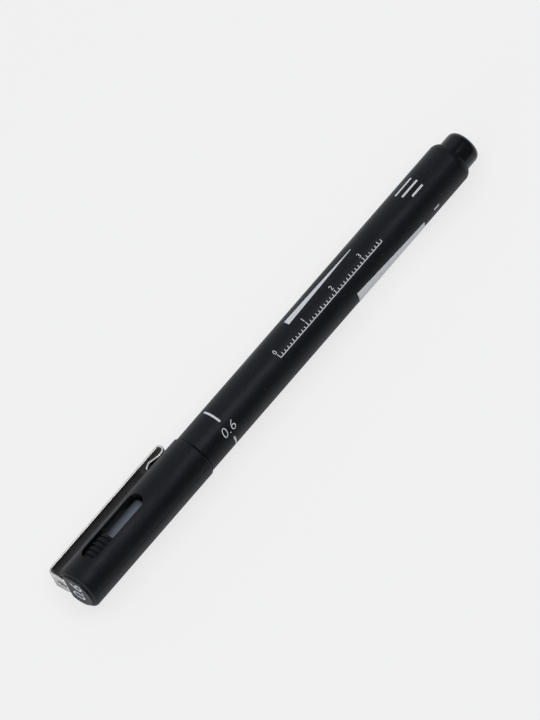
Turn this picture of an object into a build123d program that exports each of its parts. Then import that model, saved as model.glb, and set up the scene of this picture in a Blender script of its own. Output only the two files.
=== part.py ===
from build123d import *
import math
import os

# A capped fineliner pen, lying down. Lengths are in millimetres.
# X runs along the pen's axis, from the cap to the tail. Z is up.
# The origin is on the axis, half way along the barrel's wall.

# Barrel
barrel_radius = 5.3
barrel_length = 92.0
barrel_wall = 1.08
shoulder_bevel = 0.2
tail_round_length = 2.0
tail_lip_share = 0.08
neck_length = 11.0
neck_wall = 1.0
neck_lead = 0.3
bead_height = 0.08
bead_length = 1.2
bead_back = 3.6
bore_step = 1.0
barrel_rib_width = 0.7
barrel_rib_count = 4

# Tail plug
plug_clearance = 0.04
plug_boss_length = 5.0
plug_spigot_length = 8.0
plug_wall = 0.9
plug_end_wall = 1.8
plug_end_round = 1.7
plug_ring_height = 0.025
plug_ring_length = 0.7
plug_ring_pitch = 2.2
plug_ring_count = 2

# Ink core, film and wick
air_gap = 0.3
film_rib_clearance = 0.04
film_thickness = 0.1
film_clearance = 0.02
wick_radius = 0.9
wick_clearance = 0.03
wick_depth = 7.0

# Nose, steel sleeve and nib
holder_clearance = 0.02
holder_spigot_length = 8.0
holder_flange_radius = 3.9
holder_flange_length = 0.8
nose_radius = 2.6
nose_length = 8.7
flange_bevel = 0.25
cone_length = 5.5
cone_tip_radius = 1.15
cone_break_share = 0.55
cone_swell = 0.22
sleeve_radius = 0.75
sleeve_reach = 3.4
sleeve_grip = 4.5
sleeve_tip_radius = 0.5
sleeve_taper = 0.9
sleeve_clearance = 0.015
nib_radius = 0.3
nib_reach = 1.3
nib_shank_radius = 0.45
nib_clearance = 0.015

# Cap shell
cap_step = 0.35
cap_wall = 1.0
cap_fit_clearance = 0.06
cap_end_wall = 1.2
cap_end_bevel = 0.35
mouth_gap = 0.1
mouth_bevel = 0.3
mouth_lead = 0.2
window_from_end = 5.25
window_length = 19.6
window_width = 4.3

# Inner sealing cap
nib_room = 2.3
seal_clearance = 0.15
seal_lip_height = 0.1
seal_lip_length = 1.0
inner_cap_wall = 0.75
inner_cap_floor = 1.0
inner_cap_skirt = 6.05
inner_cap_mouth_room = 1.5
inner_cap_bevel = 0.25
collar_length = 1.2
collar_clearance = 0.03
pad_length = 7.45
pad_depth = 0.62
pad_clearance = 0.06
tooth_height = 0.3
tooth_count = 6

# Disc on the cap's closed end
disc_radius = 4.55
disc_proud = 0.45
disc_bevel = 0.12
disc_gap = 0.05
stud_radius = 1.6
stud_length = 1.1
stud_clearance = 0.03

# Clip
clip_thickness = 0.55
clip_width = 4.6
clip_gap = 2.2
clip_bend_radius = 0.8
clip_bend_lead = 0.1
tab_inner_radius = 2.75
prong_bend_radius = 0.4
prong_length = 1.08
prong_clearance = 0.05
pressing_length = 2.3
pressing_width = 1.0
pressing_depth = 0.18
pressing_back = 0.75
hairpin_back = 2.57
hairpin_radius = 0.75
heel_radius = 1.2
heel_rise = 0.06
belly_back = 4.9
belly_drop = 0.02
belly_radius = 2.0
tongue_gap = 0.06
kink_back = 7.4
kink_rise = 1.07
kink_radius = 0.4
tongue_back = 8.97
tongue_end_rise = 0.45

cut_overrun = 1.0
ridge_top_share = 0.5

# Radii that follow from the fits
barrel_bore = barrel_radius - barrel_wall
plug_radius = barrel_bore - plug_clearance
film_radius = barrel_bore - air_gap
core_radius = film_radius - film_thickness - film_clearance
cap_radius = barrel_radius + cap_step
cap_bore = cap_radius - cap_wall
neck_radius = cap_bore - cap_fit_clearance - bead_height
neck_bore = neck_radius - neck_wall
inner_cap_bore = nose_radius + seal_clearance
inner_cap_radius = inner_cap_bore + inner_cap_wall
pad_radius = cap_radius - pad_depth
clip_reach = cap_radius + clip_gap + clip_thickness

# Places along the axis, from the tail to the closed end
tail_x = barrel_length / 2
shoulder_x = -barrel_length / 2
bore_step_x = shoulder_x + bore_step
plug_front_x = tail_x - plug_spigot_length
mouth_x = shoulder_x - mouth_gap
neck_front_x = shoulder_x - neck_length
nose_x = neck_front_x - holder_flange_length
cone_x = nose_x - nose_length
cone_tip_x = cone_x - cone_length
sleeve_tip_x = cone_tip_x - sleeve_reach
sleeve_back_x = cone_tip_x + sleeve_grip
nib_tip_x = sleeve_tip_x - nib_reach
inner_floor_x = nib_tip_x - nib_room
cap_bore_end_x = inner_floor_x - inner_cap_floor - inner_cap_skirt
cap_end_x = cap_bore_end_x - cap_end_wall
inner_cap_mouth_x = nose_x - inner_cap_mouth_room
window_x = cap_end_x + window_from_end
disc_face_x = cap_end_x - disc_proud
wick_front_x = sleeve_back_x
wick_back_x = bore_step_x + wick_depth

# The pen lies on the cap and on the clip's lower edge.
# The clip's roll about the axis is measured from straight up, towards +Y.
clip_half = clip_width / 2
clip_corner = math.hypot(clip_reach, clip_half)
clip_roll = math.acos(-cap_radius / clip_corner) - math.atan(clip_half / clip_reach)
roll_sin = math.sin(clip_roll)
roll_cos = math.cos(clip_roll)

# A plane through the axis: its x is the pen's axis and its y points out to the clip.
# Its normal is the axis of the two side windows.
clip_plane = Plane(origin=(0, 0, 0), x_dir=(1, 0, 0), z_dir=(0, -roll_cos, roll_sin))


def stretch(x_from, x_to, radius, mode=Mode.ADD):
    """Add or cut the half profile of a cylinder between two places on the axis."""
    with Locations((x_from, 0)):
        Rectangle(x_to - x_from, radius, align=(Align.MIN, Align.MIN), mode=mode)


def corner(sketch, x, radius):
    """Pick the profile's corner nearest to a place on the axis and a radius."""
    return sketch.vertices().sort_by_distance(Vector(x, radius))[0]


def ridge(x, radius, length, height):
    """Add the profile of a low ring with sloped flanks, standing out from a radius or into a bore."""
    top_length = length * ridge_top_share
    Polygon(
        (x - length / 2, radius),
        (x, radius - height),
        (x + length / 2, radius),
        (x + top_length / 2, radius + height),
        (x - top_length / 2, radius + height),
        align=None,
    )


os.makedirs("parts", exist_ok=True)

# Barrel: tube, stepped neck with a snap bead, and ribs that hold the ink core
with BuildPart() as barrel:
    with BuildSketch(Plane.XZ) as barrel_profile:
        stretch(shoulder_x, tail_x, barrel_radius)
        stretch(neck_front_x, shoulder_x, neck_radius)
        stretch(bore_step_x, tail_x, barrel_bore, Mode.SUBTRACT)
        stretch(neck_front_x, bore_step_x, neck_bore, Mode.SUBTRACT)
        with BuildLine():
            tail_round_x = tail_x - tail_round_length
            tail_lip = barrel_bore + barrel_wall * tail_lip_share
            TangentArc((tail_round_x, barrel_radius), (tail_x, tail_lip), tangent=(1, 0))
            Polyline((tail_x, tail_lip), (tail_x, barrel_radius), (tail_round_x, barrel_radius))
        make_face(mode=Mode.SUBTRACT)
        chamfer(corner(barrel_profile, shoulder_x, barrel_radius), shoulder_bevel)
        chamfer(corner(barrel_profile, neck_front_x, neck_radius), neck_lead)
        ridge(shoulder_x - bead_back, neck_radius, bead_length, bead_height)
    revolve(axis=Axis.X)
    rib_tip_radius = film_radius + film_rib_clearance
    rib_root_radius = barrel_bore + barrel_wall / 2
    with BuildSketch(Plane.YZ.offset(bore_step_x)):
        with PolarLocations((rib_tip_radius + rib_root_radius) / 2, barrel_rib_count):
            Rectangle(rib_root_radius - rib_tip_radius, barrel_rib_width)
    extrude(amount=plug_front_x - bore_step_x)
barrel.part.label = "barrel"
export_step(barrel.part, "parts/barrel.step")

# Tail plug: hollow spigot with snap rings, and the boss that shows
with BuildPart() as tail_plug:
    with BuildSketch(Plane.XZ) as plug_profile:
        stretch(plug_front_x, tail_x + plug_boss_length, plug_radius)
        plug_end_x = tail_x + plug_boss_length
        fillet(corner(plug_profile, plug_end_x, plug_radius), plug_end_round)
        for ring in range(plug_ring_count):
            ring_x = tail_x - plug_ring_pitch * (ring + 1)
            ridge(ring_x, plug_radius, plug_ring_length, plug_ring_height)
        stretch(plug_front_x, plug_end_x - plug_end_wall, plug_radius - plug_wall, Mode.SUBTRACT)
    revolve(axis=Axis.X)
tail_plug.part.label = "tail_plug"
export_step(tail_plug.part, "parts/tail_plug.step")

# Ink core: fibre rod with a blind hole for the wick
with BuildPart() as ink_reservoir:
    with BuildSketch(Plane.XZ):
        stretch(bore_step_x, plug_front_x, core_radius)
        stretch(bore_step_x, wick_back_x, wick_radius + wick_clearance, Mode.SUBTRACT)
    revolve(axis=Axis.X)
ink_reservoir.part.label = "ink_reservoir"
export_step(ink_reservoir.part, "parts/ink_reservoir.step")

# Film sleeve round the core
with BuildPart() as reservoir_film:
    with BuildSketch(Plane.XZ):
        stretch(bore_step_x, plug_front_x, film_radius)
        stretch(bore_step_x, plug_front_x, film_radius - film_thickness, Mode.SUBTRACT)
    revolve(axis=Axis.X)
reservoir_film.part.label = "reservoir_film"
export_step(reservoir_film.part, "parts/reservoir_film.step")

# Relay wick from the nib's back end into the core
with BuildPart() as relay_wick:
    with BuildSketch(Plane.XZ):
        stretch(wick_front_x, wick_back_x, wick_radius)
    revolve(axis=Axis.X)
relay_wick.part.label = "relay_wick"
export_step(relay_wick.part, "parts/relay_wick.step")

# Nose: spigot in the neck, flange on its end, cylinder and a cone in two slopes
with BuildPart() as nib_holder:
    with BuildSketch(Plane.XZ) as holder_profile:
        stretch(neck_front_x, neck_front_x + holder_spigot_length, neck_bore - holder_clearance)
        stretch(nose_x, neck_front_x, holder_flange_radius)
        stretch(cone_x, nose_x, nose_radius)
        chamfer(corner(holder_profile, nose_x, holder_flange_radius), flange_bevel)
        with BuildLine():
            break_x = cone_tip_x + cone_length * cone_break_share
            break_radius = cone_tip_radius + (nose_radius - cone_tip_radius) * cone_break_share + cone_swell
            Polyline(
                (cone_tip_x, 0),
                (cone_tip_x, cone_tip_radius),
                (break_x, break_radius),
                (cone_x, nose_radius),
                (cone_x, 0),
                close=True,
            )
        make_face()
        stretch(cone_tip_x, sleeve_back_x, sleeve_radius + sleeve_clearance, Mode.SUBTRACT)
        wick_hole = wick_radius + wick_clearance
        stretch(sleeve_back_x, neck_front_x + holder_spigot_length, wick_hole, Mode.SUBTRACT)
    revolve(axis=Axis.X)
nib_holder.part.label = "nib_holder"
export_step(nib_holder.part, "parts/nib_holder.step")

# Steel sleeve, drawn in at its tip
with BuildPart() as nib_sleeve:
    with BuildSketch(Plane.XZ):
        with BuildLine():
            taper_x = sleeve_tip_x + sleeve_taper
            Polyline(
                (sleeve_tip_x, 0),
                (sleeve_tip_x, sleeve_tip_radius),
                (taper_x, sleeve_radius),
                (sleeve_back_x, sleeve_radius),
                (sleeve_back_x, 0),
                close=True,
            )
        make_face()
        stretch(sleeve_tip_x, taper_x, nib_radius + nib_clearance, Mode.SUBTRACT)
        stretch(taper_x, sleeve_back_x, nib_shank_radius + nib_clearance, Mode.SUBTRACT)
    revolve(axis=Axis.X)
nib_sleeve.part.label = "nib_sleeve"
export_step(nib_sleeve.part, "parts/nib_sleeve.step")

# Nib: blunt point on a thicker shank
with BuildPart() as nib:
    with BuildSketch(Plane.XZ) as nib_profile:
        stretch(nib_tip_x, taper_x, nib_radius)
        chamfer(corner(nib_profile, nib_tip_x, nib_radius), nib_radius / 2)
        stretch(taper_x, sleeve_back_x, nib_shank_radius)
    revolve(axis=Axis.X)
nib.part.label = "nib"
export_step(nib.part, "parts/nib.step")

# Cap shell: tube with a closed end, two side windows, a stud hole and the prong's slot
with BuildPart() as outer_cap:
    with BuildSketch(Plane.XZ) as cap_profile:
        stretch(cap_end_x, mouth_x, cap_radius)
        stretch(cap_bore_end_x, mouth_x, cap_bore, Mode.SUBTRACT)
        stretch(cap_end_x, cap_bore_end_x, stud_radius + stud_clearance, Mode.SUBTRACT)
        chamfer(corner(cap_profile, cap_end_x, cap_radius), cap_end_bevel)
        chamfer(corner(cap_profile, mouth_x, cap_radius), mouth_bevel)
        chamfer(corner(cap_profile, mouth_x, cap_bore), mouth_lead)
    revolve(axis=Axis.X)
    with BuildSketch(clip_plane):
        with Locations((window_x + window_length / 2, 0)):
            SlotOverall(window_length, window_width)
    extrude(amount=cap_radius + cut_overrun, both=True, mode=Mode.SUBTRACT)
    with BuildSketch(clip_plane):
        with Locations((cap_end_x - cut_overrun, tab_inner_radius - prong_clearance)):
            bend_room = prong_bend_radius - clip_thickness / 2
            slot_height = clip_thickness + bend_room + 2 * prong_clearance
            Rectangle(cap_end_wall + 2 * cut_overrun, slot_height, align=(Align.MIN, Align.MIN))
    extrude(amount=clip_half + prong_clearance, both=True, mode=Mode.SUBTRACT)
outer_cap.part.label = "outer_cap"
export_step(outer_cap.part, "parts/outer_cap.step")

# Inner cap: sealing tube on a skirt, with a saw-tooth pad that snaps into each window
with BuildPart() as inner_cap:
    pad_width = window_width - 2 * pad_clearance
    pad_end_x = window_x + pad_length
    with BuildSketch(clip_plane):
        with Locations((window_x + window_length / 2, 0)):
            SlotOverall(window_length - 2 * pad_clearance, pad_width)
    extrude(amount=cap_radius, both=True)
    with BuildSketch(Plane.XZ):
        with BuildLine():
            tooth_pitch = pad_length / tooth_count
            teeth = [(window_x, inner_cap_bore)]
            for tooth in range(tooth_count):
                tooth_x = window_x + tooth * tooth_pitch
                teeth.append((tooth_x, pad_radius))
                teeth.append((tooth_x + tooth_pitch, pad_radius - tooth_height))
            teeth.append((pad_end_x, inner_cap_bore))
            Polyline(*teeth, close=True)
        make_face()
    revolve(axis=Axis.X, mode=Mode.INTERSECT)
    with BuildSketch(Plane.XZ) as inner_profile:
        stretch(cap_bore_end_x, inner_cap_mouth_x, inner_cap_radius)
        stretch(cap_bore_end_x, cap_bore_end_x + collar_length, cap_bore - collar_clearance)
        chamfer(corner(inner_profile, inner_cap_mouth_x, inner_cap_radius), inner_cap_bevel)
        stretch(inner_floor_x, inner_cap_mouth_x, inner_cap_bore, Mode.SUBTRACT)
        skirt_end_x = inner_floor_x - inner_cap_floor
        stretch(cap_bore_end_x, skirt_end_x, inner_cap_bore, Mode.SUBTRACT)
        ridge(inner_cap_mouth_x - seal_lip_length, inner_cap_bore, seal_lip_length, -seal_lip_height)
    revolve(axis=Axis.X)
inner_cap.part.label = "inner_cap"
export_step(inner_cap.part, "parts/inner_cap.step")

# Disc on the closed end: stud in the end wall, and a flat beside the clip's tab
with BuildPart() as cap_end_disc:
    with BuildSketch(Plane.XZ) as disc_profile:
        stretch(disc_face_x, cap_end_x, disc_radius)
        stretch(cap_end_x, cap_end_x + stud_length, stud_radius)
        chamfer(corner(disc_profile, disc_face_x, disc_radius), disc_bevel)
    revolve(axis=Axis.X)
    with BuildSketch(clip_plane):
        with Locations((disc_face_x - cut_overrun, tab_inner_radius - disc_gap)):
            Rectangle(disc_proud + cut_overrun, disc_radius, align=(Align.MIN, Align.MIN))
    extrude(amount=disc_radius + cut_overrun, both=True, mode=Mode.SUBTRACT)
cap_end_disc.part.label = "cap_end_disc"
export_step(cap_end_disc.part, "parts/cap_end_disc.step")

# Clip, fixed end: prong through the end wall, and a tab with an oval pressing
tab_x = cap_end_x - clip_thickness / 2
split_radius = clip_reach - clip_bend_radius - clip_bend_lead
with BuildPart() as clip_root:
    with BuildSketch(clip_plane):
        with BuildLine():
            prong_radius = tab_inner_radius + clip_thickness / 2
            FilletPolyline(
                (cap_end_x + prong_length, prong_radius),
                (tab_x, prong_radius),
                (tab_x, split_radius),
                radius=prong_bend_radius,
            )
        trace(line_width=clip_thickness)
    extrude(amount=clip_half, both=True)
    tab_face_x = cap_end_x - clip_thickness
    pressing_radius = tab_inner_radius + pressing_back + pressing_length / 2
    pressing_plane = Plane(
        origin=(tab_face_x, pressing_radius * roll_sin, pressing_radius * roll_cos),
        x_dir=(0, roll_sin, roll_cos),
        z_dir=(-1, 0, 0),
    )
    with BuildSketch(pressing_plane):
        SlotOverall(pressing_length, pressing_width)
    extrude(amount=-pressing_depth, mode=Mode.SUBTRACT)
clip_root.part.label = "clip_root"
export_step(clip_root.part, "parts/clip_root.step")

# Clip, springing end: bend, arm, hairpin and the tongue that presses on the cap
with BuildPart() as clip_arm:
    with BuildSketch(clip_plane):
        with BuildLine():
            arm_radius = clip_reach - clip_thickness / 2
            belly_radius_at = cap_radius + tongue_gap + clip_thickness / 2 - belly_drop
            FilletPolyline(
                (tab_x, split_radius),
                (tab_x, arm_radius),
                (mouth_x - hairpin_back, arm_radius),
                (mouth_x - hairpin_back, belly_radius_at + heel_rise),
                (mouth_x - belly_back, belly_radius_at),
                (mouth_x - kink_back, cap_radius + kink_rise),
                (mouth_x - tongue_back, cap_radius + tongue_end_rise),
                radius=[
                    clip_bend_radius - clip_thickness / 2,
                    hairpin_radius,
                    heel_radius,
                    belly_radius,
                    kink_radius,
                ],
            )
        trace(line_width=clip_thickness)
    extrude(amount=clip_half, both=True)
clip_arm.part.label = "clip_arm"
export_step(clip_arm.part, "parts/clip_arm.step")
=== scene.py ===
"""Looks of a capped fineliner pen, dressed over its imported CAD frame.

Sizes in the classes are in millimetres, and the finished meshes are in metres.
X runs along the pen from the cap to the tail, and Z is up.
An angle round the pen is measured from straight up, towards +Y, in degrees.
A corner of an outline is a place on the axis, a radius and a rounding.
"""

from __future__ import annotations

import logging
import math
from dataclasses import dataclass
from enum import Enum
from typing import Callable, Iterable, Mapping, Sequence

import bmesh
import bpy
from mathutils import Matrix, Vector


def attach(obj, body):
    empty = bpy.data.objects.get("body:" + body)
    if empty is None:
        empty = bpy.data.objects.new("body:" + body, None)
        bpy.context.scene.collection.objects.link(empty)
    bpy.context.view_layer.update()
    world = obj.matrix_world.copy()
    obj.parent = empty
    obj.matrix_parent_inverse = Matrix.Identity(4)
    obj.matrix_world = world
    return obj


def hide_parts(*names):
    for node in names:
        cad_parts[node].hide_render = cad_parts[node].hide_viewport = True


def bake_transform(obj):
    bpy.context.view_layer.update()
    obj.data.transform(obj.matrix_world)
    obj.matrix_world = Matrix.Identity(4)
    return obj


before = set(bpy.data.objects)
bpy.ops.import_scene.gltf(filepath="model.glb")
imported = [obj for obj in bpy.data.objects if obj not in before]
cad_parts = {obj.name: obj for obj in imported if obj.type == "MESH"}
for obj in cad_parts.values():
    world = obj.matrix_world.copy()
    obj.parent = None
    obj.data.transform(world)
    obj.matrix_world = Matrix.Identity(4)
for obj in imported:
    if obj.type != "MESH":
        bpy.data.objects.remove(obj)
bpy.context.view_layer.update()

log = logging.getLogger("pen")

MM = 0.001
# Points closer than this are one point, and faces narrower than this go, in millimetres.
MERGE = 2e-4
SLIVER = 1e-4
# A smaller radius is a point on the axis.
POLE = 1e-6
# Edges that turn by more degrees than this stay sharp.
CREASE = 32.0
# Ranges of a noise: the whole of it, and the middle where most of it lies.
UNIT = (0.0, 1.0)
MIDDLE = (0.3, 0.7)

Flat = tuple[float, float]
Triple = tuple[float, float, float]
Point = Corner = Colour = Triple
Outline = tuple[Corner, ...]
Piece = bpy.types.Object
Socket = bpy.types.NodeSocket


class Body(Enum):
    """The bodies of the frame that a piece can ride on."""

    BARREL = "barrel"
    CAP = "cap"
    CLIP_ARM = "clip_arm"


class Slot(Enum):
    """The record's material slots that the new pieces belong to."""

    BARREL = "barrel_plastic"
    PLUG = "plug_plastic"
    NOSE = "nose_plastic"
    SLEEVE = "sleeve_steel"
    NIB = "nib_plastic"
    CAP = "cap_plastic"
    INNER = "inner_plastic"
    DISC = "disc_plastic"
    CLIP = "clip_steel"


class Ray(Enum):
    """Kinds of ray that see the pale floor."""

    CAMERA = "Is Camera Ray"
    GLOSSY = "Is Glossy Ray"
    TRANSMISSION = "Is Transmission Ray"


def outward(angle: float) -> Vector:
    """Give the unit vector that points away from the pen's axis at an angle."""
    turn = math.radians(angle)
    return Vector((0.0, math.sin(turn), math.cos(turn)))


def around(x: float, radius: float, angle: float) -> Point:
    """Give the point at a place on the axis, a radius and an angle."""
    way = outward(angle) * radius
    return (x, way.y, way.z)


def between(first: float, last: float, share: float) -> float:
    """Give the value at a share of the way from first to last."""
    return first + (last - first) * share


def rise(radius: float, across: float) -> float:
    """Give the height of a round wall at a distance across from its top."""
    return math.sqrt(radius**2 - across**2)


def spread(start: float, end: float, count: int) -> list[float]:
    """Give evenly spaced values from start to end, both included."""
    return [start + (end - start) * step / count for step in range(count + 1)]


def quarter(radius: float, steps: int = 5) -> list[Flat]:
    """Give the two distances from the outer faces along a rounded edge."""
    turns = [math.radians(turn) for turn in spread(0.0, 90.0, steps)]
    return [(radius * (1 - math.cos(turn)), radius * (1 - math.sin(turn))) for turn in turns]


def rounded(corners: Sequence[Corner], closed: bool = True, steps: int = 6) -> list[Flat]:
    """Round the corners of a flat path.

    Args:
        corners: Each corner's two coordinates and its rounding radius.
        closed: Whether the last corner joins the first.
        steps: Pieces in each arc.

    Returns:
        The points of the rounded path, in order.
    """
    path: list[Flat] = []
    count = len(corners)
    for number, (x, y, radius) in enumerate(corners):
        here = Vector((x, y))
        is_end = not closed and number in (0, count - 1)
        if radius <= 0 or is_end:
            path.append((x, y))
            continue
        before = (Vector(corners[number - 1][:2]) - here).normalized()
        after = (Vector(corners[(number + 1) % count][:2]) - here).normalized()
        half = before.angle(after) / 2
        centre = here + (before + after).normalized() * (radius / math.sin(half))
        first = here + before * (radius / math.tan(half)) - centre
        last = here + after * (radius / math.tan(half)) - centre
        sweep = first.angle_signed(last)
        for step in range(steps + 1):
            turn = -sweep * step / steps
            path.append((
                centre.x + first.x * math.cos(turn) - first.y * math.sin(turn),
                centre.y + first.x * math.sin(turn) + first.y * math.cos(turn),
            ))
    return path


class MeshDraft:
    """Points and faces of one piece, gathered in millimetres."""

    def __init__(self) -> None:
        """Start with nothing."""
        self.points: list[Point] = []
        self.faces: list[tuple[int, ...]] = []

    def row(self, points: Iterable[Point]) -> list[int]:
        """Add a row of points and give their numbers in the draft."""
        first = len(self.points)
        self.points.extend(points)
        return list(range(first, len(self.points)))

    def strip(self, first: Sequence[int], second: Sequence[int], closed: bool = True) -> None:
        """Join two rows of as many points with four-sided faces.

        Args:
            first: Numbers of one row.
            second: Numbers of the other row.
            closed: Whether the rows' ends join up.
        """
        count = len(first)
        for step in range(count if closed else count - 1):
            after = (step + 1) % count
            self.faces.append((first[step], first[after], second[after], second[step]))

    def fan(self, row: Sequence[int], tip: Point) -> None:
        """Close a row, given by its numbers, with triangles that meet in a tip."""
        top = self.row([tip])[0]
        for step, number in enumerate(row):
            self.faces.append((number, row[(step + 1) % len(row)], top))

    def loft(self, rows: Iterable[Iterable[Point]], closed: bool = True) -> list[list[int]]:
        """Skin rows one after the other.

        Args:
            rows: Rows of as many points each.
            closed: Whether each row's ends join up.

        Returns:
            The rows' numbers in the draft.
        """
        numbers = [self.row(row) for row in rows]
        for first, second in zip(numbers, numbers[1:]):
            self.strip(first, second, closed)
        return numbers

    def slab(self, top: Sequence[Sequence[Point]], bottom: Sequence[Sequence[Point]]) -> None:
        """Skin a closed sheet between two grids of as many points.

        Args:
            top: Rows of the upper face.
            bottom: Rows of the lower face.
        """
        upper = self.loft(top, False)
        lower = self.loft(bottom, False)
        for edge in (0, -1):
            self.strip(upper[edge], lower[edge], False)
            self.strip([row[edge] for row in upper], [row[edge] for row in lower], False)

    def piece(self, name: str, crease: float = CREASE) -> Piece:
        """Make the draft into a shown object.

        Args:
            name: The object's name.
            crease: Edges that turn by more degrees than this stay sharp.

        Returns:
            The object, in metres.
        """
        mesh = bpy.data.meshes.new(name)
        mesh.from_pydata([(x * MM, y * MM, z * MM) for x, y, z in self.points], [], self.faces)
        sculpt = bmesh.new()
        sculpt.from_mesh(mesh)
        bmesh.ops.remove_doubles(sculpt, verts=sculpt.verts, dist=MERGE * MM)
        bmesh.ops.dissolve_degenerate(sculpt, edges=sculpt.edges, dist=SLIVER * MM)
        bmesh.ops.recalc_face_normals(sculpt, faces=sculpt.faces)
        sculpt.to_mesh(mesh)
        sculpt.free()
        mesh.shade_smooth()
        mesh.set_sharp_from_angle(angle=math.radians(crease))
        made = bpy.data.objects.new(name, mesh)
        bpy.context.scene.collection.objects.link(made)
        return made


def turned(corners: Sequence[Corner], columns: int = 144) -> MeshDraft:
    """Turn a closed profile round the pen's axis.

    Args:
        corners: Places on the axis, radii and roundings. A radius of nought is a pole.
        columns: Faces round the turn.

    Returns:
        The draft of the turned piece.
    """
    draft = MeshDraft()
    profile = rounded(corners)
    angles = [360.0 * step / columns for step in range(columns)]
    rows: list[list[int]] = []
    for x, radius in profile:
        is_pole = radius < POLE
        rows.append([] if is_pole else draft.row(around(x, radius, angle) for angle in angles))
    for step, row in enumerate(rows):
        after = (step + 1) % len(rows)
        if row and rows[after]:
            draft.strip(row, rows[after])
        elif row:
            draft.fan(row, (profile[after][0], 0.0, 0.0))
        elif rows[after]:
            draft.fan(rows[after], (profile[step][0], 0.0, 0.0))
    return draft


@dataclass(frozen=True)
class Grain:
    """A noise, by its pitch and octaves, its stretch along the pen and the span that counts."""

    pitch: float
    detail: float = 2.0
    stretch: float = 1.0
    span: Flat = UNIT


class NodeTree:
    """The nodes of a material or of the world."""

    def __init__(self, owner: bpy.types.Material | bpy.types.World) -> None:
        """Start an empty tree on its owner."""
        owner.use_nodes = True
        self.tree = owner.node_tree
        self.tree.nodes.clear()

    def put(self, target: Socket, source: object) -> None:
        """Feed an input, by a link from a socket or with a plain value."""
        if isinstance(source, Socket):
            self.tree.links.new(source, target)
        else:
            target.default_value = source

    def node(
        self, kind: str, feeds: Mapping[str | int, object] | None = None, **settings: object
    ) -> bpy.types.Node:
        """Add a node.

        Args:
            kind: Blender's name for the node, after its first word.
            feeds: What goes into its inputs, sockets or plain values.
            settings: Attributes to set on it.

        Returns:
            The new node.
        """
        made = self.tree.nodes.new("ShaderNode" + kind)
        for key, value in settings.items():
            setattr(made, key, value)
        for key, source in (feeds or {}).items():
            self.put(made.inputs[key], source)
        return made

    def combine(self, operation: str, first: Socket | float, second: Socket | float) -> Socket:
        """Reckon one value from two."""
        return self.node("Math", {0: first, 1: second}, operation=operation).outputs["Value"]

    def remap(self, value: Socket, source: Flat, target: Flat, smooth: bool = False) -> Socket:
        """Stretch a value from one range to another, clamped.

        Args:
            value: The value to change.
            source: The range that counts in it.
            target: What that range becomes.
            smooth: Whether the change eases in and out.

        Returns:
            The changed value.
        """
        ends = dict(zip(("From Min", "From Max", "To Min", "To Max"), (*source, *target)))
        kind = "SMOOTHSTEP" if smooth else "LINEAR"
        ranged = self.node("MapRange", {"Value": value, **ends}, interpolation_type=kind)
        return ranged.outputs["Result"]


class Shader(NodeTree):
    """The nodes of one material, built round a Principled surface."""

    def __init__(self, name: str) -> None:
        """Start a named material with a surface and an output."""
        self.material = bpy.data.materials.new(name)
        super().__init__(self.material)
        self.surface = self.node("BsdfPrincipled")
        self.node("OutputMaterial", {"Surface": self.surface.outputs["BSDF"]})
        self.place = self.node("TexCoord").outputs["Object"]

    def feed(self, **sources: object) -> None:
        """Feed the surface's inputs, with underscores for the spaces in their names."""
        for key, source in sources.items():
            self.put(self.surface.inputs[key.replace("_", " ")], source)

    def noise(self, grain: Grain, target: Flat = UNIT) -> Socket:
        """Add a noise and give its value, with the span that counts stretched to a range."""
        scale = (1.0 / grain.stretch, 1.0, 1.0)
        mapped = self.node("Mapping", {"Vector": self.place, "Scale": scale}).outputs["Vector"]
        feeds = {"Vector": mapped, "Scale": 1.0 / (grain.pitch * MM), "Detail": grain.detail}
        return self.remap(self.node("TexNoise", feeds).outputs["Fac"], grain.span, target)

    def tint(self, share: Socket, low: Colour, high: Colour) -> Socket:
        """Mix two colours by the second one's share."""
        feeds = {"Factor": share, "A": (*low, 1.0), "B": (*high, 1.0)}
        return self.node("Mix", feeds, data_type="RGBA").outputs["Result"]

    def relief(self, height: Socket, depth: float, under: Socket | None = None) -> Socket:
        """Turn a height into a bent normal.

        Args:
            height: The height, from nought to one.
            depth: What a height of one stands for, in millimetres.
            under: A normal that this one adds to.

        Returns:
            The normal.
        """
        feeds: dict[str, object] = {"Strength": 1.0, "Distance": depth * MM, "Height": height}
        if under is not None:
            feeds["Normal"] = under
        return self.node("Bump", feeds).outputs["Normal"]


@dataclass(frozen=True)
class MouldedPlastic:
    """Opaque moulded plastic with a fine eroded grain, soft gloss patches and specks of dust."""

    name: str
    colour: Colour
    dust: Colour
    roughness: Flat
    specular: float
    grain_pitch: float
    grain_depth: float
    sheen_tint: Colour = (0.87, 0.905, 1.0)
    speck: Grain = Grain(0.35, 1.0, 1.0, (0.705, 0.765))
    speck_share: float = 0.9
    cloud: Grain = Grain(5.0, 3.0, 2.5, MIDDLE)
    cloud_share: float = 0.07
    patch: Grain = Grain(3.5, 3.0, 3.0, MIDDLE)
    rub: Grain = Grain(0.16, 1.0, 40.0)
    rub_share: float = 0.4

    def material(self) -> bpy.types.Material:
        """Build the material."""
        shader = Shader(self.name)
        specks = shader.noise(self.speck, (0.0, self.speck_share))
        cloud = shader.noise(self.cloud, (0.0, self.cloud_share))
        grain = shader.relief(shader.noise(Grain(self.grain_pitch)), self.grain_depth)
        shader.feed(
            Base_Color=shader.tint(shader.combine("MAXIMUM", specks, cloud), self.colour, self.dust),
            Roughness=shader.noise(self.patch, self.roughness),
            Specular_IOR_Level=self.specular,
            Specular_Tint=(*self.sheen_tint, 1.0),
            Normal=shader.relief(shader.noise(self.rub), self.grain_depth * self.rub_share, grain),
        )
        return shader.material


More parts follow.
